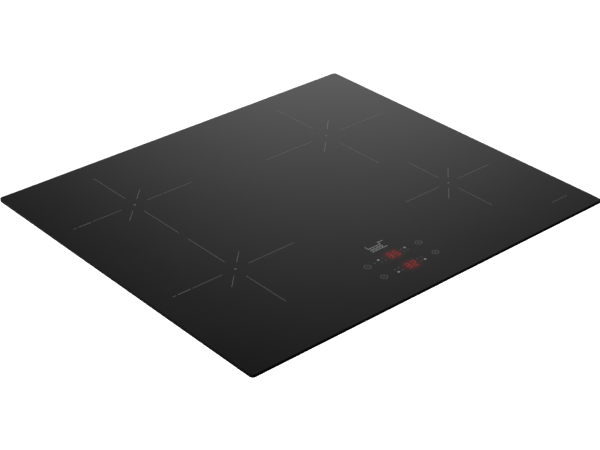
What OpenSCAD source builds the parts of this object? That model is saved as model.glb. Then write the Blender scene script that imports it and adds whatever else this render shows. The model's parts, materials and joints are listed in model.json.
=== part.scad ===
// Built-in induction hob: four cooking zones, touch controls at the front centre,
// sheet steel casing below the glass. Millimetres, +Z up, +Y to the rear.
// The origin is the centre of the casing's underside.

/* [Glass top] */
// Width of the glass, left to right
glass_w = 580; // [576:1:600]
// Depth of the glass, front to rear
glass_d = 510; // [506:1:530]
// Thickness of the glass
glass_t = 4; // [3:0.5:4]
// Radius of the glass corners in plan
glass_r = 5; // [3:0.5:8]
// Height from the casing's underside to the top of the glass
overall_h = 55; // [55:1:70]

/* [Cooking zones] */
// Diameter of the two zones on the left
left_zone_d = 180; // [160:5:180]
// Diameter of the zone at the rear right
rear_right_zone_d = 210; // [180:5:210]
// Diameter of the zone at the front right
front_right_zone_d = 150; // [145:5:160]
// Width of the printed lines
line_w = 0.8; // [0.4:0.1:1.5]

/* [Casing] */
// Width of the casing, which drops into a 560 mm cut-out
casing_w = 555; // [550:1:557]
// Depth of the casing, which drops into a 490 mm cut-out
casing_d = 482; // [480:1:486]
// Thickness of the sheet steel
sheet = 1; // [0.8:0.1:1.2]
// Radius of the casing's upright corners
casing_r = 6; // [3:1:10]

/* [Electronics] */
// Width of each power board
board_w = 150; // [140:1:150]
// Depth of each power board
board_d = 380; // [370:1:380]
// Radius of the blower wheels
impeller_r = 37; // [30:1:38]
// Number of blades on each blower wheel
blade_count = 28; // [16:1:36]

/* [Fixings] */
// Reach of each worktop clamp from its pivot to its tip
clamp_reach = 54; // [45:1:56]
// Width of each worktop clamp
clamp_w = 18; // [14:1:20]
// Radius of the cable entry's bore
cable_r = 6.5; // [5:0.5:6.5]

/* [Hidden] */

$fn = 48;
eps = 0.01;

// Levels, from the underside up
glass_z = overall_h - glass_t;
bead_t = 0.5;
flange_t = 1.2;
pan_top = glass_z - bead_t - flange_t;
mica_t = 0.5;
mica_z = glass_z - 0.7;
wire_r = 2.1;
winding_z = mica_z - wire_r;
carrier_t = 2.6;
carrier_z = mica_z - 2 * wire_r - carrier_t;
ferrite_t = 4;
tray_z = 33;
tray_t = 1.2;
board_z = 9;
board_t = 1.6;
board_top = board_z + board_t;
control_board_z = 44;
control_top = control_board_z + board_t;
print_t = 0.15;

// Cooking zones: x, y, diameter, start of the arms, start and end of the diagonal strokes
ZONES = [
    [-169, 126, left_zone_d, 20, 15, 40],
    [-169, -77, left_zone_d, 20, 15, 40],
    [142.5, 109, rear_right_zone_d, 27, 20, 47],
    [173, -95, front_right_zone_d, 17, 15, 42],
];
REAR_LEFT = 0;
FRONT_LEFT = 1;
REAR_RIGHT = 2;
FRONT_RIGHT = 3;
zone_overrun = 2;
winding_gap = 4;
winding_pitch = 4.4;
winding_inner = 24;
lead_gap = 5;
lead_offset = 4;

// Control panel
panel_x = -5;
panel_y = -187.5;
panel_w = 130;
panel_d = 75;
display_pos = [[-5, -175.8], [-4.6, -206.4]];
key_pos = [[-48, -176.4], [-48, -205.2], [37.4, -176.4], [37.4, -205.2]];
key_r = 4.6;
cable_y = -186;
dot_groups = [[-24.3, -176.7], [13.2, -176.7], [-24.3, -205.3], [13.2, -205.3]];
dot_step = 3.2;
dot_r = 1.2;
lock_dot = [-36, -176];

// Support frame, gasket and sealant
flange_w = 14;
leg_h = 14;
leg_t = 1.2;
leg_gap = 0.2;
gasket_w = 8;
gasket_inset = 1.5;
gasket_t = 1;

// Pan side screws: places along each wall
side_screw_y = [-210, -60, 60, 195];
end_screw_x = [-200, 0, 120];
screw_z = pan_top - 7.3;

// Clamp recesses and pivots
clamp_pivot = [264, 176];
clamp_z = 3;
clamp_t = 2;
recess_x = 250;
recess_h = 9.5;
recess_y = [116, 188];

// Terminal recess, housing and cover
term_x = [163, 263];
term_y = [203.3, 238.5];
term_z = [1, 32];
term_wall = 2;
clip_gap = 0.05;
window_x = [192, 258];
window_z = [4, 27];
bush_x = 177;
bush_z = 16;
wire_hole = [225, 16];
hinge_y = 241;
hinge_z = 29.5;
hinge_pin_r = 1;
hinge_clear = 0.05;
knuckle_r = 2.2;
cover_t = 2;

// Boards and blowers
board_x = 169;
board_y = -10;
sink_x = 104;
sink_w = 30;
blower_x = 45;
blower_y = 60;
blower_r = 43;
blower_wall = 1.5;
blower_h = 30;
shaft_r = 1.5;
shaft_clear = 0.05;

// Tray outlines and standoffs
left_tray = [-270, -72];
right_tray = [30, 270];
tray_depth = 466;
standoff_r = 4;
left_standoffs = [[-256, -215], [-256, 0], [-256, 215], [-80, -215], [-80, -10], [-80, 215]];
right_standoffs = [[256, -215], [256, 0], [256, 195], [80, -215], [80, -10], [80, 215]];

// ---------- Helpers ----------

function unit(v) = v / norm(v);

// A point on the smooth curve through p, between p[i] and p[i + 1]
function curve_point(p, i, t) =
    let (a = p[max(i - 1, 0)], b = p[i], c = p[i + 1], d = p[min(i + 2, len(p) - 1)])
    0.5 * (2 * b + (c - a) * t + (2 * a - 5 * b + 4 * c - d) * t ^ 2
        + (3 * b - a - 3 * c + d) * t ^ 3);

function curve_path(p, steps) = [
    for (i = [0 : len(p) - 2], k = [0 : steps - 1]) curve_point(p, i, k / steps),
    p[len(p) - 1]
];

function helix_path(r, z0, z1, turns, steps) = [
    for (i = [0 : turns * steps])
        let (a = 360 * i / steps, t = i / (turns * steps))
        [r * cos(a), r * sin(a), z0 + (z1 - z0) * t]
];

// A round tube swept along a path of points
module tube(path, r, sides = 8) {
    n = len(path);
    dirs = [for (i = [0 : n - 1]) unit(path[min(i + 1, n - 1)] - path[max(i - 1, 0)])];
    first = unit(cross(dirs[0], abs(dirs[0].z) < 0.8 ? [0, 0, 1] : [1, 0, 0]));
    across = [
        for (i = 0, v = first; i < n;
            i = i + 1, v = i < n ? unit(v - (v * dirs[i]) * dirs[i]) : v) v
    ];
    points = [
        for (i = [0 : n - 1], k = [0 : sides - 1])
            let (a = 360 * k / sides, up = cross(dirs[i], across[i]))
            path[i] + r * (cos(a) * across[i] + sin(a) * up)
    ];
    walls = [
        for (i = [0 : n - 2], k = [0 : sides - 1], upper = [false, true])
            let (a = i * sides + k, b = i * sides + (k + 1) % sides)
            upper ? [b, a + sides, b + sides] : [b, a, a + sides]
    ];
    start_cap = [[for (k = [0 : sides - 1]) k]];
    end_cap = [[for (k = [sides - 1 : -1 : 0]) (n - 1) * sides + k]];
    polyhedron(points, concat(start_cap, walls, end_cap));
}

// Mirrors a child to the left when sx is -1, and to the front when sy is -1
module flipped(sx, sy = 1) {
    mirror([sx < 0 ? 1 : 0, 0, 0]) mirror([0, sy < 0 ? 1 : 0, 0]) children();
}

module rounded_outline(w, d, r) {
    square([w - 2 * r, d], center = true);
    square([w, d - 2 * r], center = true);
    for (sx = [-1, 1], sy = [-1, 1])
        translate([sx * (w / 2 - r), sy * (d / 2 - r)]) circle(r);
}

module rounded_plate(w, d, h, r) {
    linear_extrude(h) rounded_outline(w, d, r);
}

module rounded_ring(w, d, h, r, band) {
    difference() {
        rounded_plate(w, d, h, r);
        translate([0, 0, -1]) rounded_plate(w - 2 * band, d - 2 * band, h + 2, max(r - band, 1));
    }
}

module ring(r_out, r_in, h) {
    difference() {
        cylinder(r = r_out, h = h);
        translate([0, 0, -1]) cylinder(r = r_in, h = h + 2);
    }
}

// A box between two corners given as ranges
module span(x, y, z) {
    translate([x[0], y[0], z[0]]) cube([x[1] - x[0], y[1] - y[0], z[1] - z[0]]);
}

// A thin printed bar from one radius to another at an angle
module bar(from, to, angle, w = line_w) {
    rotate(angle) translate([from, -w / 2, 0]) cube([to - from, w, print_t]);
}

module pan_head_screw(head_r, head_h, shank_r, shank_l) {
    difference() {
        cylinder(r = head_r, h = head_h);
        for (a = [0, 90])
            rotate(a) translate([-head_r * 0.6, -0.4, head_h - 0.6]) cube([head_r * 1.2, 0.8, 1]);
    }
    translate([0, 0, -shank_l]) cylinder(r = shank_r, h = shank_l + eps);
}

module at_zone(z) {
    translate([ZONES[z].x, ZONES[z].y, 0]) children();
}

function winding_r(z) = ZONES[z][2] / 2 - winding_gap;

function carrier_r(z) = winding_r(z) + 3;

// The leads leave the rear zones forwards and the front zones rearwards
function lead_side(z) = ZONES[z].y > 0 ? -1 : 1;

function lead_xy(z, side) = [
    ZONES[z].x + side * lead_offset, ZONES[z].y + lead_side(z) * (winding_r(z) + lead_gap)
];

// ---------- Glass, print, seals and frame ----------

module glass_top() {
    color([0.03, 0.03, 0.035])
        translate([0, 0, glass_z]) rounded_plate(glass_w, glass_d, glass_t, glass_r);
}

module zone_cross(z) {
    zone = ZONES[z];
    reach = zone[2] / 2 + zone_overrun;
    cylinder(r = 1.5, h = print_t);
    for (a = [-90, 0, 90]) bar(zone[3], reach, a);
    if (zone.x > 0) bar(zone[3], reach, 180);
    for (a = [45, 225]) bar(zone[4], zone[5], a);
}

// The left zones' outer arm is broken by a thicker dash
module broken_arm() {
    bar(20, 64, 180);
    bar(66.5, 85, 180, 1.5 * line_w);
    bar(87.5, 93, 180);
}

module zone_markings() {
    color([0.62, 0.62, 0.62]) translate([0, 0, overall_h]) {
        for (z = [0 : len(ZONES) - 1]) at_zone(z) zone_cross(z);
        for (z = [REAR_LEFT, FRONT_LEFT]) at_zone(z) broken_arm();
    }
}

module key_symbol(plus) {
    ring(key_r, key_r - 0.7, print_t);
    for (a = plus ? [0, 90] : [0]) bar(-1.8, 1.8, a, 0.7);
}

module dot_group(lit) {
    for (sx = [-1, 1], sy = [-1, 1])
        translate([sx * dot_step, sy * dot_step])
            if (sx == lit.x && sy == lit.y) cylinder(r = dot_r, h = print_t);
            else ring(dot_r, dot_r - 0.4, print_t);
}

// A plain row of loops in the front right corner
module corner_mark() {
    for (i = [0 : 5]) translate([-12 + i * 4.8, 0, 0]) ring(1.4, 0.9, print_t);
}

module control_icons() {
    lit = [[-1, 1], [1, 1], [-1, -1], [1, -1]];
    color([0.7, 0.7, 0.7]) translate([0, 0, overall_h]) {
        for (i = [0 : len(key_pos) - 1]) translate(key_pos[i]) key_symbol(i > 1);
        for (i = [0 : len(dot_groups) - 1]) translate(dot_groups[i]) dot_group(lit[i]);
        translate(lock_dot) ring(dot_r, dot_r - 0.4, print_t);
        translate([249.6, -218, 0]) corner_mark();
    }
}

// A plain pictogram: a pan with a handle, seen from the side, over a row of coil loops and a line
module pan_pictogram() {
    stroke = 1.3;
    pan_half = 10;
    pan_h = 6;
    color([0.8, 0.8, 0.8]) translate([-10, -148, overall_h]) {
        for (sx = [-1, 1]) translate([sx * pan_half, 0, 0]) bar(0, pan_h, 90, stroke);
        bar(-pan_half - stroke / 2, pan_half + stroke / 2, 0, stroke);
        translate([pan_half, pan_h - stroke, 0]) bar(0, 8, 0, stroke);
        for (i = [-1.5 : 1.5]) translate([i * 5.2, -4.2, 0]) ring(2.2, 1.1, print_t);
        translate([0, -8.2, 0]) bar(-11, 14, 0, stroke);
    }
}

module rim_gasket() {
    color([0.2, 0.2, 0.2]) translate([0, 0, glass_z - gasket_t])
        rounded_ring(glass_w - 2 * gasket_inset, glass_d - 2 * gasket_inset, gasket_t,
            glass_r - 1, gasket_w);
}

module sealant_bead() {
    color([0.12, 0.12, 0.12]) translate([0, 0, glass_z - bead_t])
        rounded_ring(casing_w - 3, casing_d - 3, bead_t, casing_r, 10);
}

module support_frame() {
    leg_w = casing_w - 2 * (sheet + leg_gap);
    leg_d = casing_d - 2 * (sheet + leg_gap);
    color([0.66, 0.67, 0.68]) difference() {
        union() {
            translate([0, 0, pan_top]) rounded_ring(casing_w, casing_d, flange_t, casing_r, flange_w);
            translate([0, 0, pan_top - leg_h])
                rounded_ring(leg_w, leg_d, leg_h + eps, casing_r - sheet - leg_gap, leg_t);
        }
        wall_screws() translate([0, 0, -8]) cylinder(r = 1.6, h = 12);
    }
}

// ---------- Casing ----------

// Places a child at each wall screw, with its +Z pointing out of the wall
module wall_screws() {
    for (sx = [-1, 1], y = side_screw_y)
        translate([sx * casing_w / 2, y, screw_z]) rotate([0, sx * 90, 0]) children();
    for (sy = [-1, 1], x = end_screw_x)
        translate([x, sy * casing_d / 2, screw_z]) rotate([-sy * 90, 0, 0]) children();
}

// The recesses for the clamps and the terminal housing, grown by g
module recesses(g) {
    for (sx = [-1, 1], sy = [-1, 1]) flipped(sx, sy)
        span([recess_x - g, casing_w], [recess_y[0] - g, recess_y[1] + g], [-1, recess_h + g]);
    span([term_x[0] - 1 - g, term_x[1] + 1 + g], [term_y[0] - 0.3 - g, casing_d], [-1, term_z[1] + g]);
}

module casing_solid(inset, z0, h) {
    difference() {
        translate([0, 0, z0])
            rounded_plate(casing_w - 2 * inset, casing_d - 2 * inset, h, casing_r - inset);
        recesses(inset);
    }
}

module intake_slots() {
    slot_w = 4;
    for (sx = [-1, 1], i = [-3 : 3])
        translate([sx * blower_x + i * 7.5, blower_y, 0]) {
            half = sqrt(26 ^ 2 - (i * 7.5) ^ 2);
            translate([-slot_w / 2, -half, -1]) cube([slot_w, 2 * half, sheet + 2]);
        }
}

module exhaust_slots() {
    slot = [4, 8, 20];
    for (x = [-230 : 10 : 140])
        translate([x - slot.x / 2, casing_d / 2 - slot.y / 2, 10]) cube(slot);
    for (x = [-230 : 10 : 230])
        translate([x - slot.x / 2, -casing_d / 2 - slot.y / 2, 10]) cube(slot);
    for (sx = [-1, 1], y = [-90 : 10 : 90])
        translate([sx * casing_w / 2 - slot.y / 2, y - slot.x / 2, 14]) cube([slot.y, slot.x, 16]);
}

module clamp_pivots() {
    for (sx = [-1, 1], sy = [-1, 1])
        translate([sx * clamp_pivot.x, sy * clamp_pivot.y, 0]) children();
}

module bottom_pan() {
    color([0.68, 0.7, 0.72]) difference() {
        casing_solid(0, 0, pan_top);
        casing_solid(sheet, sheet, pan_top);
        intake_slots();
        exhaust_slots();
        wall_screws() translate([0, 0, -4]) cylinder(r = 1.6, h = 8);
        clamp_pivots() cylinder(r = 2.1, h = 20);
        translate([wire_hole.x, term_y[0], wire_hole.y])
            rotate([90, 0, 0]) cylinder(r = 6, h = 12, center = true);
    }
}

module pan_screws() {
    color([0.75, 0.75, 0.76]) wall_screws() pan_head_screw(3.2, 1.6, 1.5, 5);
}

// ---------- Coil trays ----------

module coil_tray(x, zones, standoffs) {
    color([0.8, 0.81, 0.82]) difference() {
        union() {
            span(x, [-tray_depth / 2, tray_depth / 2], [tray_z, tray_z + tray_t]);
            span(x, [-tray_depth / 2, tray_t - tray_depth / 2], [tray_z - 5, tray_z + eps]);
        }
        for (p = standoffs) translate([p.x, p.y, tray_z - 1]) cylinder(r = 2.1, h = 4);
        for (z = zones) {
            at_zone(z) translate([0, 0, tray_z - 1]) cylinder(r = 3, h = 4);
            for (side = [-1, 1]) translate([lead_xy(z, side).x, lead_xy(z, side).y, tray_z - 1])
                cylinder(r = 3, h = 4);
        }
        translate([-84, cable_y, tray_z - 1]) cylinder(r = 7, h = 4);
    }
}

module coil_tray_left() {
    coil_tray(left_tray, [REAR_LEFT, FRONT_LEFT], left_standoffs);
}

module coil_tray_right() {
    coil_tray(right_tray, [REAR_RIGHT, FRONT_RIGHT], right_standoffs);
}

module tray_standoffs() {
    color([0.72, 0.6, 0.3]) for (p = concat(left_standoffs, right_standoffs))
        translate([p.x, p.y, sheet]) difference() {
            cylinder(r = standoff_r, h = tray_z - sheet);
            translate([0, 0, tray_z - sheet - 9]) cylinder(r = 1.95, h = 10);
        }
}

module tray_screws() {
    color([0.75, 0.75, 0.76]) for (p = concat(left_standoffs, right_standoffs))
        translate([p.x, p.y, tray_z + tray_t]) pan_head_screw(3.4, 2, 1.85, 8);
}

// ---------- Coils ----------

module coil_winding(z) {
    color([0.72, 0.42, 0.2]) at_zone(z) translate([0, 0, winding_z])
        for (r = [winding_r(z) - wire_r : -winding_pitch : winding_inner])
            rotate_extrude() translate([r, 0]) circle(wire_r);
}

module coil_winding_rear_left() { coil_winding(REAR_LEFT); }

module coil_winding_front_left() { coil_winding(FRONT_LEFT); }

module coil_winding_rear_right() { coil_winding(REAR_RIGHT); }

module coil_winding_front_right() { coil_winding(FRONT_RIGHT); }

module coil_carrier(z) {
    r = carrier_r(z);
    foot_r = 4;
    color([0.9, 0.88, 0.82]) at_zone(z) {
        difference() {
            translate([0, 0, carrier_z]) union() {
                ring(r, 14, carrier_t);
                ring(r, r - 1.5, carrier_t + 1.3);
                ring(19, 14, carrier_t + 1.3);
            }
            for (a = [0 : 45 : 315]) rotate(a + 22.5)
                translate([28, -4, carrier_z - 1]) cube([r - 40, 8, carrier_t + 2]);
        }
        for (a = [45 : 90 : 315]) rotate(a) translate([r - foot_r - 1, 0, tray_z + tray_t])
            cylinder(r = foot_r, h = carrier_z - tray_z - tray_t + eps);
    }
}

module coil_carrier_rear_left() { coil_carrier(REAR_LEFT); }

module coil_carrier_front_left() { coil_carrier(FRONT_LEFT); }

module coil_carrier_rear_right() { coil_carrier(REAR_RIGHT); }

module coil_carrier_front_right() { coil_carrier(FRONT_RIGHT); }

module ferrite_bars() {
    color([0.16, 0.16, 0.17]) for (z = [0 : len(ZONES) - 1]) at_zone(z)
        for (a = [0 : 45 : 315]) rotate(a)
            translate([26, -5, carrier_z - ferrite_t]) cube([carrier_r(z) - 40, 10, ferrite_t]);
}

module mica_sheets() {
    color([0.85, 0.8, 0.68]) for (z = [0 : len(ZONES) - 1]) at_zone(z)
        translate([0, 0, mica_z]) ring(carrier_r(z) - 2, 12, mica_t);
}

module temperature_sensors() {
    color([0.9, 0.9, 0.88]) for (z = [0 : len(ZONES) - 1]) at_zone(z) {
        translate([0, 0, glass_z - 2.5]) cylinder(r = 5, h = 2.5);
        translate([0, 0, glass_z - 4.5]) cylinder(r = 3, h = 2 + eps);
    }
}

module sensor_springs() {
    color([0.8, 0.8, 0.82]) for (z = [0 : len(ZONES) - 1]) at_zone(z)
        tube(helix_path(4.2, tray_z + tray_t + 0.4, glass_z - 2.9, 5, 12), 0.35, 6);
}

// Two thin wires down from each sensor, through the tray to the board
module sensor_leads() {
    color([0.9, 0.9, 0.92]) for (z = [0 : len(ZONES) - 1], side = [-1, 1]) at_zone(z)
        tube(curve_path([
            [side * 1.2, 0, glass_z - 4.6], [side * 1.4, 0, 40], [side * 1.4, 1, 30],
            [side * 2, 2, 20], [side * 2, 2, board_top + 0.1]
        ], 3), 0.6);
}

// Each lead leaves the winding's edge, turns down past the carrier and passes through the tray
module coil_leads() {
    color([0.75, 0.2, 0.15]) for (z = [0 : len(ZONES) - 1], side = [-1, 1]) {
        p = lead_xy(z, side);
        out = lead_side(z);
        tube(curve_path([
            [p.x, p.y - out * 3.5, winding_z + 0.8], [p.x, p.y - out * 1, winding_z + 0.8],
            [p.x, p.y + out * 0.2, winding_z - 0.8], [p.x, p.y + out * 0.2, 40], [p.x, p.y, 33.6],
            [p.x, p.y, 26], [p.x, p.y, board_top + 4.1]
        ], 3), 1.4);
    }
}

module coil_terminals() {
    color([0.8, 0.65, 0.3]) for (z = [0 : len(ZONES) - 1], side = [-1, 1])
        translate([lead_xy(z, side).x - 3, lead_xy(z, side).y - 5, board_top]) cube([6, 10, 4]);
}

// ---------- Power boards ----------

module at_boards() {
    for (sx = [-1, 1]) flipped(sx) translate([board_x, board_y, 0]) children();
}

module board_fixings() {
    for (sx = [-1, 1], ky = [-1, 0, 1])
        translate([sx * (board_w / 2 - 6), ky * (board_d / 2 - 6), 0]) children();
}

module board_trays() {
    wall = 1.5;
    w = board_w + 4;
    d = board_d + 4;
    color([0.93, 0.93, 0.9]) at_boards() difference() {
        union() {
            span([-w / 2, w / 2], [-d / 2, d / 2], [sheet, sheet + wall]);
            difference() {
                span([-w / 2, w / 2], [-d / 2, d / 2], [sheet, board_top + 1.4]);
                span([wall - w / 2, w / 2 - wall], [wall - d / 2, d / 2 - wall], [0, 20]);
            }
            board_fixings() translate([0, 0, sheet]) cylinder(r = 3, h = board_z - sheet);
        }
        board_fixings() translate([0, 0, board_z - 5]) cylinder(r = 1.45, h = 6);
    }
}

module power_boards() {
    color([0.1, 0.35, 0.18]) at_boards() difference() {
        translate([-board_w / 2, -board_d / 2, board_z]) cube([board_w, board_d, board_t]);
        board_fixings() translate([0, 0, board_z - 1]) cylinder(r = 1.6, h = board_t + 2);
    }
}

module board_screws() {
    color([0.75, 0.75, 0.76]) at_boards() board_fixings()
        translate([0, 0, board_top]) pan_head_screw(2.8, 1.8, 1.35, 6);
}

module heat_sinks() {
    fins = 8;
    fin_t = 1.5;
    sink_y = [-110, 100];
    color([0.78, 0.79, 0.8]) for (side = [-1, 1]) flipped(side) {
        span([sink_x, sink_x + sink_w], sink_y, [board_top, board_top + 4]);
        for (i = [0 : fins - 1]) {
            x = sink_x + i * (sink_w - fin_t) / (fins - 1);
            span([x, x + fin_t], sink_y, [board_top + 4 - eps, 30]);
        }
    }
}

// The transistors stand against the heat sink's outer side
module power_transistors() {
    color([0.1, 0.1, 0.11]) for (side = [-1, 1], y = [-104, -74, -44, 20, 50, 76]) flipped(side)
        translate([sink_x + sink_w, y, board_top]) cube([4.8, 16, 18]);
}

module capacitors() {
    color([0.75, 0.62, 0.25]) for (sx = [-1, 1]) flipped(sx) {
        for (y = [-170, -120, -60]) translate([206, y, board_top]) cube([26, 34, 18]);
        for (y = [20, 60, 100]) translate([219, y, board_top + 9])
            rotate([-90, 0, 0]) cylinder(r = 9, h = 30);
    }
}

module filter_chokes() {
    color([0.8, 0.68, 0.2]) for (sx = [-1, 1]) flipped(sx) for (y = [-155, 70])
        translate([180, y, board_top + 6]) rotate_extrude() translate([12, 0]) circle(6);
}

module relays() {
    color([0.15, 0.25, 0.5]) for (sx = [-1, 1]) flipped(sx) for (y = [136, 154])
        translate([186, y, board_top]) cube([28, 12, 15]);
}

// ---------- Blowers ----------

module blower_plan(inset) {
    circle(blower_r - inset);
    translate([0, inset - blower_r]) square([blower_r + 2, 46 - 2 * inset]);
}

module blower_housing(side) {
    duct = 3;
    color([0.12, 0.12, 0.13]) translate([side * blower_x, blower_y, sheet]) flipped(side)
        difference() {
            linear_extrude(blower_h - sheet) blower_plan(0);
            translate([0, 0, blower_wall]) linear_extrude(blower_h - sheet - 2 * blower_wall)
                union() {
                    blower_plan(blower_wall);
                    translate([blower_r - 8, blower_wall - blower_r]) square([8 + duct, 43]);
                }
            translate([0, 0, -1]) cylinder(r = 27, h = blower_wall + 2);
        }
}

module blower_housing_left() { blower_housing(-1); }

module blower_housing_right() { blower_housing(1); }

// Fixed stators under the housings' lids, each with the shaft that its wheel turns on
module blower_motors() {
    lid_z = blower_h - blower_wall;
    color([0.55, 0.55, 0.57]) for (side = [-1, 1]) translate([side * blower_x, blower_y, 0]) {
        translate([0, 0, 23]) cylinder(r = 12, h = lid_z - 23);
        translate([0, 0, 6]) cylinder(r = shaft_r, h = 17 + eps);
        translate([0, 0, 5]) cylinder(r = 3, h = 1 + eps);
    }
}

module impeller(side) {
    rim_z = 6.5;
    rim_t = 1.6;
    plate_z = 20;
    color([0.2, 0.2, 0.22]) translate([side * blower_x, blower_y, 0]) difference() {
        union() {
            translate([0, 0, rim_z]) cylinder(r = 7, h = plate_z - rim_z + 1);
            translate([0, 0, plate_z]) cylinder(r = impeller_r, h = rim_t);
            translate([0, 0, rim_z]) ring(impeller_r, impeller_r - 11, rim_t);
            for (i = [0 : blade_count - 1]) rotate(i * 360 / blade_count)
                translate([impeller_r - 9, -0.5, rim_z + rim_t - eps]) rotate(-18)
                    cube([8, 1, plate_z - rim_z - rim_t + 2 * eps]);
        }
        translate([0, 0, rim_z - 1]) cylinder(r = shaft_r + shaft_clear, h = 20);
    }
}

module impeller_left() { impeller(-1); }

module impeller_right() { impeller(1); }

// ---------- Controls ----------

module control_holder() {
    floor_z = 38;
    wall = 2;
    top = glass_z - 0.5;
    color([0.92, 0.92, 0.9]) difference() {
        union() {
            difference() {
                span([panel_x - panel_w / 2, panel_x + panel_w / 2],
                    [panel_y - panel_d / 2, panel_y + panel_d / 2], [floor_z, top]);
                span([panel_x - panel_w / 2 + wall, panel_x + panel_w / 2 - wall],
                    [panel_y - panel_d / 2 + wall, panel_y + panel_d / 2 - wall],
                    [floor_z + 1.5, top + 1]);
            }
            for (x = [-58, 18], y = [-217, -158])
                translate([x, y, sheet]) cylinder(r = 4, h = floor_z - sheet + eps);
            for (x = [-64, 54], y = [-219, -156])
                translate([x, y, floor_z + 1]) cylinder(r = 3, h = control_board_z - floor_z - 1);
        }
        span([-80, -60], [cable_y - 8, cable_y + 8], [39.5, 43.5]);
    }
}

module control_board() {
    color([0.08, 0.3, 0.16]) translate([panel_x - 62.5, panel_y - 35, control_board_z])
        cube([125, 70, board_t]);
}

// The seven bars of a digit, in the order top, upper left, upper right, middle,
// lower left, lower right, bottom
module digit(on) {
    bars = [[0, 5, 0], [-2.5, 2.5, 90], [2.5, 2.5, 90], [0, 0, 0],
        [-2.5, -2.5, 90], [2.5, -2.5, 90], [0, -5, 0]];
    for (i = [0 : 6]) if (on[i] == 1)
        translate([bars[i].x, bars[i].y, 0]) rotate(bars[i][2])
            translate([-1.9, -0.5, 0]) cube([3.8, 1, 0.2]);
}

module display(pos, left_digit, right_digit) {
    top = glass_z - 0.4;
    color([0.55, 0.06, 0.05]) translate([pos.x, pos.y, 0]) {
        translate([-12, -8, control_top]) cube([24, 16, top - control_top]);
        translate([-5.5, 0, top]) digit(left_digit);
        translate([5.5, 0, top]) digit(right_digit);
    }
}

DIGIT_2 = [1, 0, 1, 1, 1, 0, 1];
DIGIT_3 = [1, 0, 1, 1, 0, 1, 1];
DIGIT_5 = [1, 1, 0, 1, 0, 1, 1];

module display_upper() { display(display_pos[0], DIGIT_3, DIGIT_5); }

module display_lower() { display(display_pos[1], DIGIT_3, DIGIT_2); }

module touch_springs() {
    color([0.8, 0.8, 0.82]) for (p = key_pos) translate([p.x, p.y, 0])
        tube(helix_path(4.6, control_top + 0.5, glass_z - 0.5, 3, 12), 0.45, 6);
}

module indicator_lamps() {
    color([0.9, 0.9, 0.85]) for (g = dot_groups, sx = [-1, 1], sy = [-1, 1])
        translate([g.x + sx * dot_step - 1, g.y + sy * dot_step - 1, control_top])
            cube([2, 2, 1.4]);
}

module control_cable() {
    color([0.85, 0.85, 0.85]) for (i = [0 : 3]) {
        y = cable_y - 3 + i * 2;
        tube(curve_path([
            [-56, y, 43.3], [-59, y, 41.5], [-66, y, 41.4], [-76, y, 40.5], [-83, y, 37],
            [-84.5, y, 32], [-85, y, 22], [-90, y, 15], [-100, y, board_top + 0.7]
        ], 3), 0.6);
    }
}

// ---------- Mains connection ----------

// Base and lid with three walls clipped between them, and the cable's saddle on the base
module terminal_housing() {
    inner_x = [term_x[0] + term_wall, term_x[1] - term_wall];
    front_y = [term_y[0], term_y[0] + term_wall];
    wall_z = [term_z[0] + term_wall + clip_gap, term_z[1] - term_wall - clip_gap];
    rear_y = term_y[1] - term_wall - clip_gap;
    color([0.13, 0.13, 0.14]) {
        difference() {
            union() {
                span(term_x, [term_y[0], rear_y], [term_z[0], term_z[0] + term_wall]);
                span([inner_x[0] + clip_gap, 190], [214, 222], [term_z[0] + 1, bush_z - 0.4]);
            }
            translate([bush_x, 206, bush_z]) rotate([-90, 0, 0]) cylinder(r = cable_r, h = 24);
            clamp_screw_places() translate([0, 0, 7]) cylinder(r = 1.5, h = 20);
        }
        span(term_x, [term_y[0], rear_y], [term_z[1] - term_wall, term_z[1]]);
        span([term_x[0], inner_x[0]], [term_y[0], rear_y], wall_z);
        span([inner_x[1], term_x[1]], [term_y[0], rear_y], wall_z);
        difference() {
            span([inner_x[0] + clip_gap, inner_x[1] - clip_gap], front_y, wall_z);
            translate([wire_hole.x, term_y[0], wire_hole.y])
                rotate([90, 0, 0]) cylinder(r = 6, h = 12, center = true);
        }
    }
}

// The wall that holds the bush and the cover's hinge
module terminal_rear_wall() {
    ear_t = 2;
    color([0.13, 0.13, 0.14]) difference() {
        union() {
            difference() {
                span(term_x, [term_y[1] - term_wall, term_y[1]], term_z);
                span(window_x, [term_y[1] - 5, term_y[1] + 5], window_z);
            }
            for (x = [window_x[0] - ear_t, window_x[1]])
                span([x, x + ear_t], [term_y[1] - 1, hinge_y + 2], [hinge_z - 2, hinge_z + 2]);
        }
        translate([bush_x, term_y[1] - 6, bush_z]) rotate([-90, 0, 0]) cylinder(r = 9, h = 12);
        translate([window_x[0] - 5, hinge_y, hinge_z])
            rotate([0, 90, 0]) cylinder(r = hinge_pin_r + 0.02, h = 80);
    }
}

module terminal_block() {
    y = [term_y[0] + term_wall + 1.5, 219];
    color([0.85, 0.85, 0.8]) difference() {
        span([198, 252], y, [term_z[0] + term_wall, 22]);
        for (i = [0 : 4]) translate([204 + i * 10.5, y[1] - 4, 16])
            rotate([-90, 0, 0]) cylinder(r = 3, h = 5);
    }
    color([0.8, 0.65, 0.3]) for (i = [0 : 4]) translate([204 + i * 10.5, y[1] - 4, 16])
        rotate([-90, 0, 0]) cylinder(r = 2.6, h = 3);
}

// Rubber bush held in the housing's rear wall by its groove
module cable_bush() {
    profile = [
        [cable_r, -2.5], [11, -2.5], [11, 0], [8.95, 0], [8.95, term_wall], [11, term_wall],
        [11, term_wall + 2], [9.5, term_wall + 4.5], [cable_r, term_wall + 4.5]
    ];
    color([0.08, 0.08, 0.08]) translate([bush_x, term_y[1] - term_wall, bush_z])
        rotate([-90, 0, 0]) rotate_extrude() polygon(profile);
}

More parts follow.
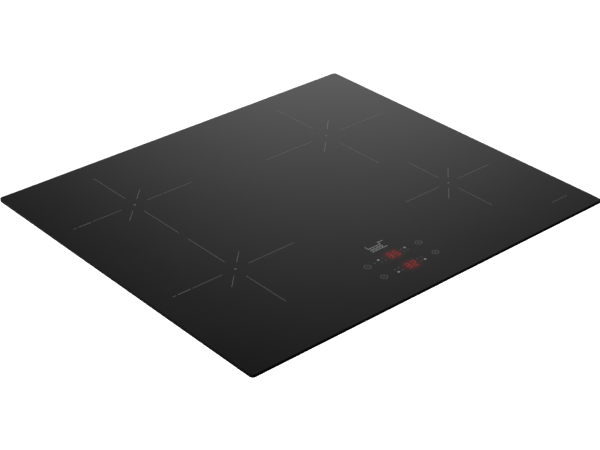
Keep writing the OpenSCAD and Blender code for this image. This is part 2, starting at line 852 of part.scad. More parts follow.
// Saddle over the cable, with its two screws
module cable_clamp() {
    x = [term_x[0] + term_wall + 0.3, 189.7];
    z = [bush_z + 0.4, bush_z + 12];
    color([0.2, 0.2, 0.21]) difference() {
        span(x, [214, 222], z);
        translate([bush_x, 210, bush_z]) rotate([-90, 0, 0]) cylinder(r = cable_r, h = 20);
        clamp_screw_places() cylinder(r = 1.5, h = 30);
    }
    color([0.75, 0.75, 0.76]) clamp_screw_places() translate([0, 0, z[1]])
        pan_head_screw(2.3, 1.4, 1.4, z[1] - 8);
}

module clamp_screw_places() {
    for (side = [-1, 1]) translate([bush_x + side * 9.2, 218, 0]) children();
}

module terminal_cover() {
    y = [hinge_y - knuckle_r, hinge_y - knuckle_r + cover_t];
    grip = 6;
    color([0.15, 0.15, 0.16]) difference() {
        union() {
            span([window_x[0] + 0.5, window_x[1] - 0.5], y, [2.5, hinge_z]);
            for (x = [window_x[0] + 2, window_x[1] - 12]) translate([x, hinge_y, hinge_z])
                rotate([0, 90, 0]) cylinder(r = knuckle_r, h = 10);
            span([218, 232], [y[1] - eps, y[1] + 1.2], [4, 4 + grip]);
        }
        translate([window_x[0], hinge_y, hinge_z])
            rotate([0, 90, 0]) cylinder(r = hinge_pin_r + hinge_clear, h = 70);
        // the plate is cut back beside the knuckles so that only they meet the pin
        span([window_x[0] + 12.3, window_x[1] - 12.3], [y[0] - 1, y[1] + 3], [hinge_z - 1.6, hinge_z + 1]);
    }
}

module cover_hinge_pin() {
    color([0.75, 0.75, 0.77]) translate([window_x[0] - 2, hinge_y, hinge_z])
        rotate([0, 90, 0]) cylinder(r = hinge_pin_r, h = window_x[1] - window_x[0] + 4);
}

// Where the mains wires end on the boards: three on the right, two on the left
MAINS_TABS = [[wire_hole.x - 2, 174], [wire_hole.x + 1, 174], [wire_hole.x + 4, 174],
    [-130, 174], [-135, 174]];

module mains_tabs() {
    color([0.8, 0.65, 0.3]) for (p = MAINS_TABS)
        translate([p.x - 1.4, p.y - 2, board_top]) cube([2.8, 4, 4]);
}

// Three cores to the right board, and two across to the left one
module mains_wires() {
    start_y = term_y[0] + term_wall + 1.2;
    end_z = board_top + 4.6;
    colours = [[0.45, 0.28, 0.12], [0.1, 0.3, 0.65], [0.35, 0.6, 0.15]];
    for (i = [0 : 2]) {
        x = wire_hole.x - 3 + i * 3;
        tab = MAINS_TABS[i];
        color(colours[i]) tube(curve_path([
            [x, start_y, 13.5], [x, 201, 14], [x, 193, 17], [x + 1, 184, 21],
            [tab.x, tab.y + 2, 21], [tab.x, tab.y, 18], [tab.x, tab.y, end_z]
        ], 3), 1.2);
    }
    for (i = [0 : 1]) {
        x = wire_hole.x - 1.6 + i * 3.2;
        tab = MAINS_TABS[3 + i];
        color(colours[i]) tube(curve_path([
            [x, start_y, 18], [x, 201, 18], [x - 8, 191 + i * 4, 23], [150, 190 + i * 3, 25],
            [60, 192 + i * 3, 25], [-30, 194 + i * 3, 25], [-110, 192 + i * 4, 24],
            [tab.x + 2, 182 + i * 2, 23], [tab.x, tab.y, 18], [tab.x, tab.y, end_z]
        ], 4), 1.2);
    }
}

// ---------- Worktop clamps ----------

// Screws, spacers and nuts of the four clamps
module clamp_screws() {
    color([0.75, 0.75, 0.76]) clamp_pivots() {
        translate([0, 0, 0.6]) cylinder(r = 4, h = 2.3);
        translate([0, 0, 1]) cylinder(r = 2, h = 14);
        translate([0, 0, clamp_z + clamp_t + 0.1])
            cylinder(r = 3.6, h = recess_h - clamp_z - clamp_t - 0.1);
        translate([0, 0, recess_h + sheet]) cylinder(r = 4, h = 3.2, $fn = 6);
    }
}

// A swivelling strap with an upturned, toothed tip; it lies towards the middle when stowed
module worktop_clamp(sx, sy) {
    lip = 3.5;
    color([0.7, 0.71, 0.72]) translate([sx * clamp_pivot.x, sy * clamp_pivot.y, clamp_z])
        flipped(sx, sy) difference() {
            union() {
                cylinder(r = clamp_w / 2, h = clamp_t);
                translate([-clamp_w / 2, -clamp_reach, 0]) cube([clamp_w, clamp_reach, clamp_t]);
                for (i = [-1 : 1]) translate([i * 6 - 2, -clamp_reach, 0])
                    cube([4, clamp_t, clamp_t + lip]);
                for (x = [-clamp_w / 2, clamp_w / 2 - 1.5])
                    translate([x, 10 - clamp_reach, 0]) cube([1.5, clamp_reach - 24, clamp_t + 1.5]);
            }
            translate([0, 0, -1]) cylinder(r = 2 + shaft_clear, h = clamp_t + 2);
        }
}

module clamp_rear_left() { worktop_clamp(-1, 1); }

module clamp_front_left() { worktop_clamp(-1, -1); }

module clamp_rear_right() { worktop_clamp(1, 1); }

module clamp_front_right() { worktop_clamp(1, -1); }

// ---------- Nodes ----------

glass_top();
zone_markings();
control_icons();
pan_pictogram();
rim_gasket();
sealant_bead();
support_frame();
bottom_pan();
pan_screws();
coil_tray_left();
coil_tray_right();
tray_standoffs();
tray_screws();
coil_winding_rear_left();
coil_winding_front_left();
coil_winding_rear_right();
coil_winding_front_right();
coil_carrier_rear_left();
coil_carrier_front_left();
coil_carrier_rear_right();
coil_carrier_front_right();
ferrite_bars();
mica_sheets();
temperature_sensors();
sensor_springs();
sensor_leads();
coil_leads();
coil_terminals();
board_trays();
power_boards();
board_screws();
heat_sinks();
power_transistors();
capacitors();
filter_chokes();
relays();
blower_housing_left();
blower_housing_right();
blower_motors();
impeller_left();
impeller_right();
control_holder();
control_board();
display_upper();
display_lower();
touch_springs();
indicator_lamps();
control_cable();
terminal_housing();
terminal_rear_wall();
terminal_block();
cable_bush();
cable_clamp();
terminal_cover();
cover_hinge_pin();
mains_tabs();
mains_wires();
clamp_screws();
clamp_rear_left();
clamp_front_left();
clamp_rear_right();
clamp_front_right();
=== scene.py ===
"""Looks, light and camera for the built-in induction hob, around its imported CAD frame. Metres, Z up."""

import json
import math

import bmesh
import bpy
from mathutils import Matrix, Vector


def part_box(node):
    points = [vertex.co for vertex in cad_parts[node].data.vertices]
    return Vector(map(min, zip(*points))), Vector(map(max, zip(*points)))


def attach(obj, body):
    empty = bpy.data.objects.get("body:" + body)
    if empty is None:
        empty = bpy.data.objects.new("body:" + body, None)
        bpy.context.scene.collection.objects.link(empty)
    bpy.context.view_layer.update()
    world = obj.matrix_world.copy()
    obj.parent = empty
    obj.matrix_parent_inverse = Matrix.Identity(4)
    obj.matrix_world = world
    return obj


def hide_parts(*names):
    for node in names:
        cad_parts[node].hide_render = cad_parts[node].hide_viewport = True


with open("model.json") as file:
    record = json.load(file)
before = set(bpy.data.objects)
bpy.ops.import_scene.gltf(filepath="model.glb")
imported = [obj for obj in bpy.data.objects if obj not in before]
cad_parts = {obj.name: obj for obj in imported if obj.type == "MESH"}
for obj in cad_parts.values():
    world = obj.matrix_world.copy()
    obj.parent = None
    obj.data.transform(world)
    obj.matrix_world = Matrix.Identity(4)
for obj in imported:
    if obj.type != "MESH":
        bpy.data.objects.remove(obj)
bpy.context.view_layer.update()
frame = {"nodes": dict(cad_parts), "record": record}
ROOT = "hob"
MM = 0.001

# ---------- Places, all from the frame ----------

GLASS_LOW, GLASS_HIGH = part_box("glass_top")
GLASS_TOP = GLASS_HIGH.z
GLASS_UNDER = GLASS_LOW.z
GLASS_W = GLASS_HIGH.x - GLASS_LOW.x
GLASS_D = GLASS_HIGH.y - GLASS_LOW.y
PRINT_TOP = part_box("zone_markings")[1].z


def centre(node):
    """The middle of a CAD node's box."""
    low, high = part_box(node)
    return (low + high) / 2


DISPLAYS = [centre("display_upper"), centre("display_lower")]

# ---------- Node helpers ----------


class Tree:
    """A short way to write a node tree."""

    def __init__(self, tree):
        self.tree = tree

    def add(self, kind, **settings):
        node = self.tree.nodes.new(kind)
        for key, value in settings.items():
            setattr(node, key, value)
        return node

    def link(self, a, b):
        self.tree.links.new(a, b)

    def parts(self, vector):
        """The X, Y and Z of a vector."""
        node = self.add("ShaderNodeSeparateXYZ")
        self.link(vector, node.inputs["Vector"])
        return node.outputs

    def maths(self, operation, a, b=None):
        node = self.add("ShaderNodeMath", operation=operation)
        for slot, value in zip(node.inputs, (a, b)):
            if isinstance(value, (int, float)):
                slot.default_value = value
            elif value is not None:
                self.link(value, slot)
        return node.outputs["Value"]

    def times(self, a, b):
        return self.maths("MULTIPLY", a, b)

    def span(self, value, low, high, start=0.0, end=1.0, kind="LINEAR"):
        """A number that goes from low to high as value goes from start to end."""
        node = self.add("ShaderNodeMapRange", interpolation_type=kind)
        limits = {"From Min": start, "From Max": end, "To Min": low, "To Max": high}
        for name, number in limits.items():
            node.inputs[name].default_value = number
        self.link(value, node.inputs["Value"])
        return node.outputs["Result"]

    def fade(self, value, start, end):
        """1 below start and 0 above end, smoothly between."""
        return self.span(value, 1, 0, start, end, "SMOOTHSTEP")

    def bell(self, value, power):
        """1 where value is 0, falling to 0 as it grows past 1."""
        return self.maths("EXPONENT", self.times(self.maths("POWER", value, power), -1.0))


class Nodes(Tree):
    """The node tree of one new material, with what its shader takes."""

    def __init__(self, name):
        self.material = bpy.data.materials.new(name)
        self.material.use_nodes = True
        super().__init__(self.material.node_tree)
        self.shader = self.tree.nodes["Principled BSDF"]
        self.place = self.add("ShaderNodeTexCoord").outputs["Object"]

    def set(self, **values):
        """Sets numbers and colours on the shader's own sockets; underscores stand for spaces."""
        for key, value in values.items():
            self.shader.inputs[key.replace("_", " ")].default_value = value

    def noise(self, scale, detail=4.0, rough=0.55, stretch=(1, 1, 1)):
        mapping = self.add("ShaderNodeMapping")
        mapping.inputs["Scale"].default_value = stretch
        self.link(self.place, mapping.inputs["Vector"])
        node = self.add("ShaderNodeTexNoise")
        node.inputs["Scale"].default_value = scale
        node.inputs["Detail"].default_value = detail
        node.inputs["Roughness"].default_value = rough
        self.link(mapping.outputs["Vector"], node.inputs["Vector"])
        return node.outputs["Fac"]

    def cells(self, scale, feature="F1"):
        node = self.add("ShaderNodeTexVoronoi", feature=feature)
        node.inputs["Scale"].default_value = scale
        self.link(self.place, node.inputs["Vector"])
        return node.outputs

    def ramp(self, value, low, high, start=0.3, end=0.7):
        """A colour that goes from low to high as value goes from start to end."""
        node = self.add("ShaderNodeValToRGB")
        stops = node.color_ramp.elements
        stops[0].position, stops[1].position = start, end
        stops[0].color, stops[1].color = (*low, 1), (*high, 1)
        self.link(value, node.inputs["Fac"])
        return node.outputs["Color"]

    def mix(self, factor, a, b):
        """A colour between a and b, each of them a colour or a socket."""
        node = self.add("ShaderNodeMix", data_type="RGBA")
        ends = [s for s in node.inputs if s.type == "RGBA"]
        self.link(factor, node.inputs["Factor"])
        for slot, value in zip(ends, (a, b)):
            if isinstance(value, tuple):
                slot.default_value = (*value, 1)
            else:
                self.link(value, slot)
        return [s for s in node.outputs if s.type == "RGBA"][0]

    def colour(self, value):
        self.link(value, self.shader.inputs["Base Color"])

    def rough(self, value):
        self.link(value, self.shader.inputs["Roughness"])

    def glow(self, value):
        self.link(value, self.shader.inputs["Emission Color"])

    def bump(self, height, strength, distance):
        node = self.add("ShaderNodeBump")
        node.inputs["Strength"].default_value = strength
        node.inputs["Distance"].default_value = distance
        self.link(height, node.inputs["Height"])
        self.link(node.outputs["Normal"], self.shader.inputs["Normal"])


def shade(colour, factor):
    """A colour made darker or lighter."""
    return tuple(min(1.0, c * factor) for c in colour)


def grey(level):
    return (level, level, level)


# ---------- Materials ----------


def plastic(name, colour, rough=0.5, grain=1800, depth=0.04 * MM):
    """Moulded plastic: a fine spark-eroded grain, with a slow drift in colour."""
    n = Nodes(name)
    n.colour(n.ramp(n.noise(35, detail=3), shade(colour, 0.88), shade(colour, 1.12)))
    n.rough(n.span(n.noise(120, detail=2), rough - 0.08, rough + 0.1))
    n.bump(n.noise(grain, detail=2), 0.35, depth)
    return n.material


def rubber(name, colour, rough=0.75):
    """Matt rubber or sealant, mottled and slightly pitted."""
    n = Nodes(name)
    n.colour(n.ramp(n.noise(90, detail=5), shade(colour, 0.75), shade(colour, 1.35)))
    n.rough(n.span(n.noise(400, detail=3), rough - 0.1, rough + 0.12))
    n.bump(n.noise(2600, detail=3), 0.4, 0.05 * MM)
    return n.material


def foam(name, colour):
    """Closed-cell foam tape: small shallow cells."""
    n = Nodes(name)
    cells = n.cells(1400)["Distance"]
    n.colour(n.ramp(cells, shade(colour, 0.6), shade(colour, 1.6), 0.1, 0.8))
    n.rough(n.span(n.noise(300), 0.8, 0.95))
    n.bump(cells, 0.6, 0.1 * MM)
    return n.material


def sheet_steel(name, colour):
    """Galvanised sheet: pale zinc crystals, faint rolling lines and a few smudges."""
    n = Nodes(name)
    crystals = n.ramp(n.cells(55)["Color"], shade(colour, 0.82), shade(colour, 1.14), 0.0, 1.0)
    streaks = n.noise(60, detail=3, rough=0.6, stretch=(1, 1, 30))
    n.colour(n.mix(n.span(streaks, 0.0, 0.45), crystals, shade(colour, 0.8)))
    n.set(Metallic=0.85)
    n.rough(n.span(n.noise(22), 0.3, 0.52))
    n.bump(n.noise(700, detail=2, rough=0.5, stretch=(1, 1, 12)), 0.15, 0.05 * MM)
    return n.material


def brushed(name, colour, rough, stretch):
    """Drawn or rolled metal with fine lines, which run along the axis that stretch leaves at 1."""
    n = Nodes(name)
    lines = n.noise(40, detail=6, rough=0.65, stretch=stretch)
    n.colour(n.ramp(lines, shade(colour, 0.82), shade(colour, 1.08)))
    n.set(Metallic=1.0)
    n.rough(n.span(lines, rough - 0.08, rough + 0.15))
    n.bump(lines, 0.2, 0.03 * MM)
    return n.material


def turned(name, colour, rough=0.28):
    """Plated or turned small metal parts, with rubbed patches."""
    n = Nodes(name)
    n.colour(n.ramp(n.noise(260), shade(colour, 0.78), shade(colour, 1.12)))
    n.set(Metallic=1.0)
    n.rough(n.span(n.noise(500, detail=3), rough - 0.06, rough + 0.2))
    n.bump(n.noise(1500, detail=2), 0.15, 0.03 * MM)
    return n.material


def circuit_board(name):
    """Green solder mask: paler over the copper, darker along the gaps in it."""
    n = Nodes(name)
    gaps = n.cells(160, "DISTANCE_TO_EDGE")["Distance"]
    mask = n.ramp(gaps, (0.012, 0.09, 0.035), (0.03, 0.2, 0.075), 0.04, 0.07)
    n.colour(n.mix(n.span(n.noise(20), 0.0, 0.4), mask, (0.02, 0.13, 0.05)))
    n.rough(n.span(n.noise(200), 0.22, 0.4))
    n.bump(gaps, 0.25, 0.04 * MM)
    return n.material


def mica(name):
    """Pressed mica sheet: pale brown flakes of different tones."""
    n = Nodes(name)
    flakes = n.cells(240)
    n.colour(n.ramp(flakes["Color"], (0.52, 0.44, 0.32), (0.82, 0.75, 0.6), 0.0, 1.0))
    n.rough(n.span(n.noise(300), 0.35, 0.6))
    n.bump(flakes["Distance"], 0.3, 0.06 * MM)
    return n.material


def strands(name, low, high, scale=900, metal=0.0):
    """Stranded wire or a braided sleeve: fine bands that run across the lay."""
    n = Nodes(name)
    bands = n.add("ShaderNodeTexWave", wave_type="BANDS", bands_direction="DIAGONAL")
    bands.inputs["Scale"].default_value = scale
    bands.inputs["Distortion"].default_value = 1.5
    n.link(n.place, bands.inputs["Vector"])
    n.colour(n.ramp(bands.outputs["Color"], low, high, 0.15, 0.85))
    n.set(Metallic=metal)
    n.rough(n.span(n.noise(400), 0.35, 0.6))
    n.bump(bands.outputs["Color"], 0.4, 0.1 * MM)
    return n.material


def lens(name, colour):
    """The clear moulded cover of a display or a lamp."""
    n = Nodes(name)
    n.colour(n.ramp(n.noise(150), shade(colour, 0.85), shade(colour, 1.2)))
    n.rough(n.span(n.noise(600), 0.15, 0.27))
    n.set(Coat_Weight=0.4)
    return n.material


def fired_print(name, colour):
    """Ceramic print fired into the glass: slightly granular, and as polished as the glass round it."""
    n = Nodes(name)
    n.colour(n.ramp(n.noise(2200, detail=3), shade(colour, 0.8), shade(colour, 1.2)))
    n.rough(n.span(n.noise(900), 0.03, 0.07))
    n.set(IOR=1.5)
    return n.material


def glowing(name, strength, bright, dim):
    """A lit segment or dot, almost black itself: its light drifts softly between two tones."""
    n = Nodes(name)
    n.colour(n.ramp(n.noise(700), shade(bright, 0.04), shade(bright, 0.1)))
    n.set(Roughness=0.4, Emission_Strength=strength)
    n.glow(n.ramp(n.noise(350, detail=2), dim, bright, 0.25, 0.6))
    return n.material


def mains_insulation(name):
    """Three cores side by side: brown, blue and green by their place across the bundle."""
    brown, blue, green = (0.2, 0.09, 0.03), (0.03, 0.1, 0.4), (0.12, 0.35, 0.05)
    bundle_left, bundle_w = 220.5 * MM, 9 * MM
    n = Nodes(name)
    across = n.span(n.parts(n.place)["X"], 0.0, 1.0, bundle_left, bundle_left + bundle_w)
    first_two = n.ramp(across, brown, blue, 0.3, 0.34)
    n.colour(n.mix(n.maths("GREATER_THAN", across, 0.64), first_two, green))
    n.rough(n.span(n.noise(300), 0.35, 0.55))
    n.bump(n.noise(1800), 0.2, 0.04 * MM)
    return n.material


def black_glass(name):
    """Black glass-ceramic: near black, polished, with a painted red glow round the lit digits, standing
    for their light spreading in it.
    """
    spread_x, spread_y, spread_z, power = 10.5 * MM, 8.5 * MM, 20 * MM, 2.4
    red = (0.080, 0.0006, 0.0020)
    n = Nodes(name)
    n.colour(n.ramp(n.noise(14, detail=3), (0.0030, 0.0030, 0.0032), (0.0040, 0.0040, 0.0042)))
    n.rough(n.span(n.noise(9, detail=3), 0.02, 0.05))
    n.set(IOR=1.5, Emission_Strength=1.0)
    # Painted glow: red emission that fades with distance from each display.
    painted_glows = []
    for display in DISPLAYS:
        offset = n.add("ShaderNodeVectorMath", operation="SUBTRACT")
        offset.inputs[1].default_value = (display.x, display.y, GLASS_TOP)
        n.link(n.place, offset.inputs[0])
        squeezed = n.add("ShaderNodeVectorMath", operation="MULTIPLY")
        squeezed.inputs[1].default_value = (1 / spread_x, 1 / spread_y, 1 / spread_z)
        n.link(offset.outputs["Vector"], squeezed.inputs[0])
        away = n.add("ShaderNodeVectorMath", operation="LENGTH")
        n.link(squeezed.outputs["Vector"], away.inputs[0])
        painted_glows.append(n.bell(away.outputs["Value"], power))
    n.glow(n.mix(n.maths("ADD", *painted_glows), grey(0.0), red))
    return n.material


def ground_edge(name, rear, front):
    """The ground edge of the glass: dead matt, with a tone for its rear end and one for its front end."""
    n = Nodes(name)
    along = n.span(n.parts(n.place)["Y"], 0.0, 1.0, GLASS_LOW.y, GLASS_HIGH.y)
    grain = n.noise(600)
    ends = [n.ramp(grain, grey(tone * 0.6), grey(tone * 1.4)) for tone in (front, rear)]
    n.colour(n.mix(along, *ends))
    n.rough(n.span(n.noise(900), 0.6, 0.8))
    n.set(IOR=1.02)
    n.bump(n.noise(2500), 0.3, 0.03 * MM)
    return n.material


# Each slot's maker and what it is given after the name
ALONG_X, ALONG_Y, ALONG_Z = (1, 60, 60), (60, 1, 60), (60, 60, 1)
SLOT_LOOKS = {
    "black_glass": (black_glass,),
    "grey_print": (fired_print, grey(0.066)),
    "light_print": (fired_print, grey(0.125)),
    "seal_foam": (foam, grey(0.02)),
    "sealant": (rubber, grey(0.015), 0.45),
    "galvanised_steel": (sheet_steel, (0.40, 0.415, 0.43)),
    "zinc_screws": (turned, (0.62, 0.62, 0.63)),
    "tray_aluminium": (brushed, (0.72, 0.73, 0.74), 0.32, ALONG_X),
    "brass": (turned, (0.7, 0.52, 0.22)),
    "ferrite": (plastic, (0.04, 0.04, 0.045), 0.7, 1200, 0.1 * MM),
    "mica": (mica,),
    "ceramic": (plastic, (0.8, 0.79, 0.75), 0.3, 900, 0.02 * MM),
    "spring_steel": (turned, (0.58, 0.58, 0.6), 0.22),
    "white_wire": (rubber, (0.7, 0.7, 0.68), 0.5),
    "red_sleeving": (strands, (0.25, 0.03, 0.02), (0.55, 0.1, 0.06), 1400),
    "white_plastic": (plastic, (0.76, 0.74, 0.68), 0.45),
    "circuit_board": (circuit_board,),
    "black_moulding": (plastic, (0.022, 0.022, 0.024), 0.48, 2200, 0.06 * MM),
    "grey_moulding": (plastic, (0.09, 0.09, 0.1)),
    "blue_moulding": (plastic, (0.03, 0.09, 0.3), 0.3),
    "capacitor_film": (plastic, (0.5, 0.34, 0.08), 0.28),
    "copper_winding": (strands, (0.32, 0.13, 0.05), (0.75, 0.36, 0.17), 900, 0.8),
    "motor_steel": (brushed, (0.45, 0.45, 0.47), 0.35, ALONG_Z),
    "red_display": (lens, (0.25, 0.015, 0.015)),
    "lamp_lens": (lens, (0.75, 0.75, 0.7)),
    "black_rubber": (rubber, grey(0.014)),
    "mains_insulation": (mains_insulation,),
    "clamp_steel": (brushed, (0.62, 0.63, 0.65), 0.3, ALONG_Y),
}
MATERIALS = {name: maker(name, *settings) for name, (maker, *settings) in SLOT_LOOKS.items()}
GROUND_EDGE = ground_edge("ground_edge", rear=0.0011, front=0.0011)
# The left ground edge is painted paler, most at its rear end: painted light for the light that grazes it
# from the rear left.
LEFT_EDGE_PAINTED_LIGHT = ground_edge("ground_edge_left_painted_light", rear=0.017, front=0.004)
LIT_RED = glowing("lit_red", 0.54, (0.40, 0.009, 0.008), (0.26, 0.005, 0.005))
LIT_WHITE = glowing("lit_white", 0.34, (0.40, 0.42, 0.41), (0.27, 0.285, 0.28))


def dress(node, slot):
    """Gives a CAD node its material."""
    mesh = frame["nodes"][node].data
    mesh.materials.clear()
    mesh.materials.append(MATERIALS[slot])


for part in frame["record"]["subparts"]:
    dress(part["node"], part["material_slot"])


def brass_terminals():
    """Gives the terminal block's round inserts their brass; the block round them stays ceramic."""
    low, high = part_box("terminal_block")
    count, pitch, first, height = 5, 10.5 * MM, 6 * MM, 16 * MM
    middles = [low.x + first + i * pitch for i in range(count)]
    # The inserts stand in holes in the block's rear face, between these two depths
    radius, shallow, deep = 2.65 * MM, 0.5 * MM, 4.01 * MM
    mesh = frame["nodes"]["terminal_block"].data
    mesh.materials.append(MATERIALS["brass"])
    for face in mesh.polygons:
        if shallow <= high.y - face.center.y <= deep:
            away = min(math.hypot(face.center.x - x, face.center.z - height) for x in middles)
            if away < radius:
                face.material_index = 1


brass_terminals()


# ---------- Shapes ----------


def new_object(name, shape, materials):
    """An object with the mesh that shape makes."""
    bm = bmesh.new()
    shape(bm)
    bmesh.ops.recalc_face_normals(bm, faces=bm.faces)
    mesh = bpy.data.meshes.new(name)
    bm.to_mesh(mesh)
    bm.free()
    for material in materials:
        mesh.materials.append(material)
    obj = bpy.data.objects.new(name, mesh)
    bpy.context.scene.collection.objects.link(obj)
    return obj


def at_height(outline, z):
    """An outline's points, all at one height."""
    return [(x, y, z) for x, y in outline]


def loft(bm, outlines):
    """A closed solid through a stack of outlines, lowest first; gives its base and its rows of sides."""
    rings = [[bm.verts.new(point) for point in outline] for outline in outlines]
    base = bm.faces.new(list(reversed(rings[0])))
    bm.faces.new(rings[-1])
    rows = []
    for low, high in zip(rings, rings[1:]):
        corners = zip(low, low[1:] + low[:1], high[1:] + high[:1], high)
        rows.append([bm.faces.new(face) for face in corners])
    return base, rows


def rounded_outline(width, depth, radius):
    """Points round a rectangle with arcs at its corners, anticlockwise."""
    steps = 8
    points = []
    for quarter, (sx, sy) in enumerate([(1, 1), (-1, 1), (-1, -1), (1, -1)]):
        for i in range(steps + 1):
            angle = math.radians(90 * quarter + 90 * i / steps)
            x = sx * (width / 2 - radius) + radius * math.cos(angle)
            y = sy * (depth / 2 - radius) + radius * math.sin(angle)
            points.append((x, y))
    return points


# ---------- Pieces ----------


def piece(name, shape, materials):
    """An object that rides on the hob's own body."""
    obj = new_object(name, shape, materials)
    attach(obj, ROOT)
    return obj


GLASS_LOOKS = [MATERIALS["black_glass"], GROUND_EDGE, LEFT_EDGE_PAINTED_LIGHT]
POLISHED, GROUND, GROUND_LEFT_PAINTED_LIGHT = range(len(GLASS_LOOKS))
# A face whose normal has an X below this looks left
LEFTWARD = -0.7


def glass_plate(bm):
    """The glass: a plate with a rounded upper arris and a small chamfer below."""
    corner, arris, chamfer, steps = 5 * MM, 0.35 * MM, 0.1 * MM, 5
    profile = [(chamfer, GLASS_UNDER), (0.0, GLASS_UNDER + chamfer)]
    for i in range(steps + 1):
        angle = math.radians(90 * i / steps)
        profile.append((arris * (1 - math.cos(angle)), GLASS_TOP - arris * (1 - math.sin(angle))))
    outlines = []
    for inset, z in profile:
        outline = rounded_outline(GLASS_W - 2 * inset, GLASS_D - 2 * inset, corner - inset)
        outlines.append(at_height(outline, z))
    base, rows = loft(bm, outlines)
    base.material_index = GROUND
    for row in rows:
        for face in row:
            face.smooth = True
            face.material_index = POLISHED if row is rows[-1] else GROUND


glass = piece("glass_plate", glass_plate, GLASS_LOOKS)
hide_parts("glass_top")
# The ground edge's faces that look left take the paler tones of painted light.
for polygon in glass.data.polygons:
    if polygon.material_index == GROUND and polygon.normal.x < LEFTWARD:
        polygon.material_index = GROUND_LEFT_PAINTED_LIGHT


# Each segment's ends on a grid two points wide and three high, and the segments that a digit lights
GRID = {
    "a": ((0, 2), (1, 2)),
    "b": ((1, 2), (1, 1)),
    "c": ((1, 1), (1, 0)),
    "d": ((1, 0), (0, 0)),
    "e": ((0, 0), (0, 1)),
    "f": ((0, 1), (0, 2)),
    "g": ((0, 1), (1, 1)),
}
LIT = {"2": "abged", "3": "abgcd", "5": "afgcd"}
DIGIT_W, DIGIT_H, DIGIT_PITCH, DIGIT_SLANT = 5.6 * MM, 11.0 * MM, 10.5 * MM, 0.12
STROKE_W = 1.25 * MM
STROKE_T = 0.05 * MM
STROKE_GAP = 0.06


def segment(bm, start, end):
    """A thin bar with pointed ends on the glass, drawn in a little from both of its points."""
    gap = (end - start) * STROKE_GAP
    a, b = start + gap, end - gap
    tip = (end - start).normalized() * STROKE_W / 2
    side = Vector((-tip.y, tip.x))
    outline = [a, a + tip + side, b - tip + side, b, b - tip - side, a + tip - side]
    loft(bm, [at_height(outline, z) for z in (GLASS_TOP, GLASS_TOP + STROKE_T)])


def digits(text, middle):
    """The shape of a display's lit segments."""

    def shape(bm):
        for i, figure in enumerate(text):
            digit_x = middle.x + (i - (len(text) - 1) / 2) * DIGIT_PITCH
            for letter in LIT[figure]:
                ends = []
                for column, row in GRID[letter]:
                    y = (row / 2 - 0.5) * DIGIT_H
                    x = (column - 0.5) * DIGIT_W + DIGIT_SLANT * y
                    ends.append(Vector((digit_x + x, middle.y + y)))
                segment(bm, *ends)

    return shape


piece("lit_digits_upper", digits("35", DISPLAYS[0]), [LIT_RED])
piece("lit_digits_lower", digits("32", DISPLAYS[1]), [LIT_RED])

# Four lamps are lit, one of each group: those at the corners of the box round all the lamps
LAMP_LOW, LAMP_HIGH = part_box("indicator_lamps")
LAMP_HALF = 1.0 * MM
LIT_DOTS = [
    (x, y)
    for x in (LAMP_LOW.x + LAMP_HALF, LAMP_HIGH.x - LAMP_HALF)
    for y in (LAMP_LOW.y + LAMP_HALF, LAMP_HIGH.y - LAMP_HALF)
]


def lit_dots(bm):
    """Slightly domed discs, one over each lit lamp."""
    sides = 20
    radius, flat_radius, dome = 1.7 * MM, 1.02 * MM, 0.06 * MM
    levels = [(radius, GLASS_TOP), (radius, PRINT_TOP), (flat_radius, PRINT_TOP + dome)]
    turns = [math.tau * i / sides for i in range(sides)]
    for x, y in LIT_DOTS:
        loft(bm, [[(x + r * math.cos(t), y + r * math.sin(t), z) for t in turns] for r, z in levels])


piece("lit_dots", lit_dots, [LIT_WHITE])


# ---------- Stage ----------


def stage_slab(name, outline, bottom, top, material):
    """A flat slab of the stage, on an anticlockwise outline."""
    levels = [at_height(outline, z) for z in (bottom, top)]
    obj = new_object(name, lambda bm: loft(bm, levels), [material])


def pale(name):
    """A pale matt surface that can shine with an even white light of its own."""
    n = Nodes(name)
    n.colour(n.ramp(n.noise(3), grey(0.93), grey(0.95)))
    n.set(Roughness=0.9, Specular_IOR_Level=0.1, Emission_Color=(1, 1, 1, 1))
    return n


def lit_shelf(name):
    """The shelf, which shines a little, so that it looks as white as the surround."""
    n = pale(name)
    n.set(Emission_Strength=0.7)
    return n.material


# How far the floor's own light reaches in under the front and left edges of the glass, how far it runs
# past the right edge, and the distance that it fades over
LIGHT_IN = 0.09
LIGHT_PAST = 0.09
LIGHT_FADE = 0.05


def lit_floor(name):
    """The floor, which shines in front of and to the left of the hob, where the shelf shades it."""
    n = pale(name)
    place = n.parts(n.place)

    def up_to(axis, limit):
        """1 below a limit on an axis, then fading to 0."""
        return n.fade(place[axis], limit, limit + LIGHT_FADE)

    front = n.times(up_to("Y", GLASS_LOW.y + LIGHT_IN - LIGHT_FADE), up_to("X", GLASS_HIGH.x + LIGHT_PAST))
    left = n.times(up_to("X", GLASS_LOW.x + LIGHT_IN - LIGHT_FADE), up_to("Y", GLASS_HIGH.y))
    n.link(n.maths("MAXIMUM", front, left), n.shader.inputs["Emission Strength"])
    return n.material


FLOOR_REACH = 6.0
FLOOR_T = 0.02
FLOOR_OUTLINE = [(sx * FLOOR_REACH, sy * FLOOR_REACH) for sx, sy in ((-1, -1), (1, -1), (1, 1), (-1, 1))]
stage_slab("floor", FLOOR_OUTLINE, -FLOOR_T, 0.0, lit_floor("pale_floor"))

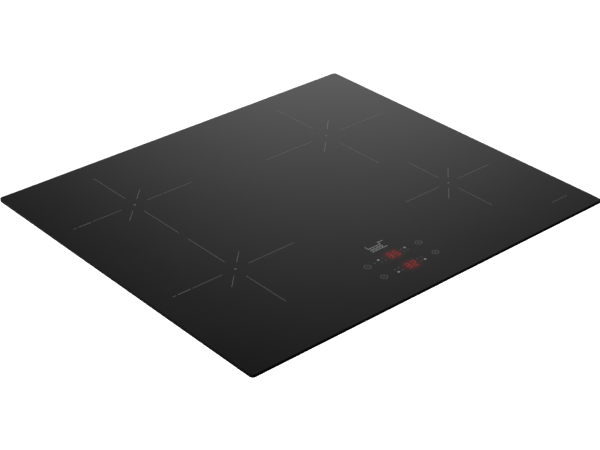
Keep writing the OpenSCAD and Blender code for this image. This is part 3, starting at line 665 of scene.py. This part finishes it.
# A thin pale shelf stands for the worktop. It is tucked in under the front and left edges of the glass,
# and its two ends are cut at a slant, so that the casing shows beyond them.
SHELF_TOP = GLASS_UNDER - 0.1 * MM
SHELF_T = 1.2 * MM
SHELF_FRONT = 54 * MM
SHELF_LEFT = 46 * MM
TUCK = 0.8 * MM
END_SLANT = math.tan(math.radians(41))
SHELF_OUTLINE = [
    (GLASS_LOW.x - SHELF_LEFT, GLASS_LOW.y - SHELF_FRONT),
    (GLASS_HIGH.x - SHELF_FRONT * END_SLANT, GLASS_LOW.y - SHELF_FRONT),
    (GLASS_HIGH.x, GLASS_LOW.y + TUCK),
    (GLASS_LOW.x + TUCK, GLASS_LOW.y + TUCK),
    (GLASS_LOW.x + TUCK, GLASS_HIGH.y),
    (GLASS_LOW.x - SHELF_LEFT, GLASS_HIGH.y - SHELF_LEFT / END_SLANT),
]
stage_slab("shelf", SHELF_OUTLINE, SHELF_TOP - SHELF_T, SHELF_TOP, lit_shelf("pale_shelf"))

# ---------- Camera and light ----------

# A long lens from above the front left
AZIMUTH, ELEVATION = math.radians(-41.04), math.radians(30.48)
DISTANCE, LENS, SENSOR = 1.9006, 91.88, 36.0
FAR = 100.0
TARGET = Vector((-0.0443, -0.0503, GLASS_TOP + 0.0005))
LEVEL = math.cos(ELEVATION)
BACK = Vector((math.sin(AZIMUTH) * LEVEL, -math.cos(AZIMUTH) * LEVEL, math.sin(ELEVATION)))

camera_data = bpy.data.cameras.new("camera")
camera_data.lens = LENS
camera_data.sensor_width = SENSOR
camera_data.clip_end = FAR
camera = bpy.data.objects.new("camera", camera_data)
camera.location = TARGET + BACK * DISTANCE
camera.rotation_euler = BACK.to_track_quat("Z", "Y").to_euler()
bpy.context.scene.collection.objects.link(camera)
bpy.context.scene.camera = camera


def overhead_light(strength, spread):
    """A soft sun from straight above, left out of mirror reflections so that the glass stays dark."""
    data = bpy.data.lights.new("overhead", "SUN")
    data.energy = strength
    data.angle = math.radians(spread)
    obj = bpy.data.objects.new("overhead", data)
    obj.visible_glossy = False
    bpy.context.scene.collection.objects.link(obj)


overhead_light(strength=3.6, spread=70)

# The surround, by degrees above the horizon and degrees of turn from +Y towards +X: white near the
# horizon, with one soft bright area behind right, a faint haze, and a dim light on the other sides
HORIZON = (5, 20)
BRIGHT, BRIGHT_TURN, BRIGHT_WIDTH, BRIGHT_POWER = 0.98, 42.23, 11.18, 2.155
BRIGHT_RISE = (17.5, 40.8)
HAZE = 0.193
HAZE_RISE = (21.5, 31.5)
DIM, DIM_WIDTH, DIM_POWER = 0.25, 40, 4.0


def studio_world():
    world = bpy.data.worlds.new("studio")
    world.use_nodes = True
    w = Tree(world.node_tree)
    w.tree.nodes.clear()
    background = w.add("ShaderNodeBackground")
    background.inputs["Color"].default_value = (1, 1, 1, 1)
    w.link(background.outputs["Background"], w.add("ShaderNodeOutputWorld").inputs["Surface"])
    direction = w.parts(w.add("ShaderNodeTexCoord").outputs["Generated"])
    height = w.maths("ARCSINE", direction["Z"])
    turn = w.maths("ARCTAN2", direction["X"], direction["Y"])
    aside = w.maths("ABSOLUTE", w.maths("SUBTRACT", turn, math.radians(BRIGHT_TURN)))

    def below(limits):
        return w.fade(height, *(math.radians(limit) for limit in limits))

    def towards_bright(width, power):
        return w.bell(w.maths("DIVIDE", aside, math.radians(width)), power)

    bright = w.times(w.times(towards_bright(BRIGHT_WIDTH, BRIGHT_POWER), below(BRIGHT_RISE)), BRIGHT)
    haze = w.times(below(HAZE_RISE), HAZE)
    dim = w.times(w.maths("SUBTRACT", 1.0, towards_bright(DIM_WIDTH, DIM_POWER)), DIM)
    upper = w.maths("ADD", w.maths("ADD", bright, haze), dim)
    w.link(w.maths("MAXIMUM", below(HORIZON), upper), background.inputs["Strength"])
    bpy.context.scene.world = world


studio_world()

bpy.context.scene.view_settings.view_transform = "Standard"
bpy.context.scene.view_settings.look = "None"
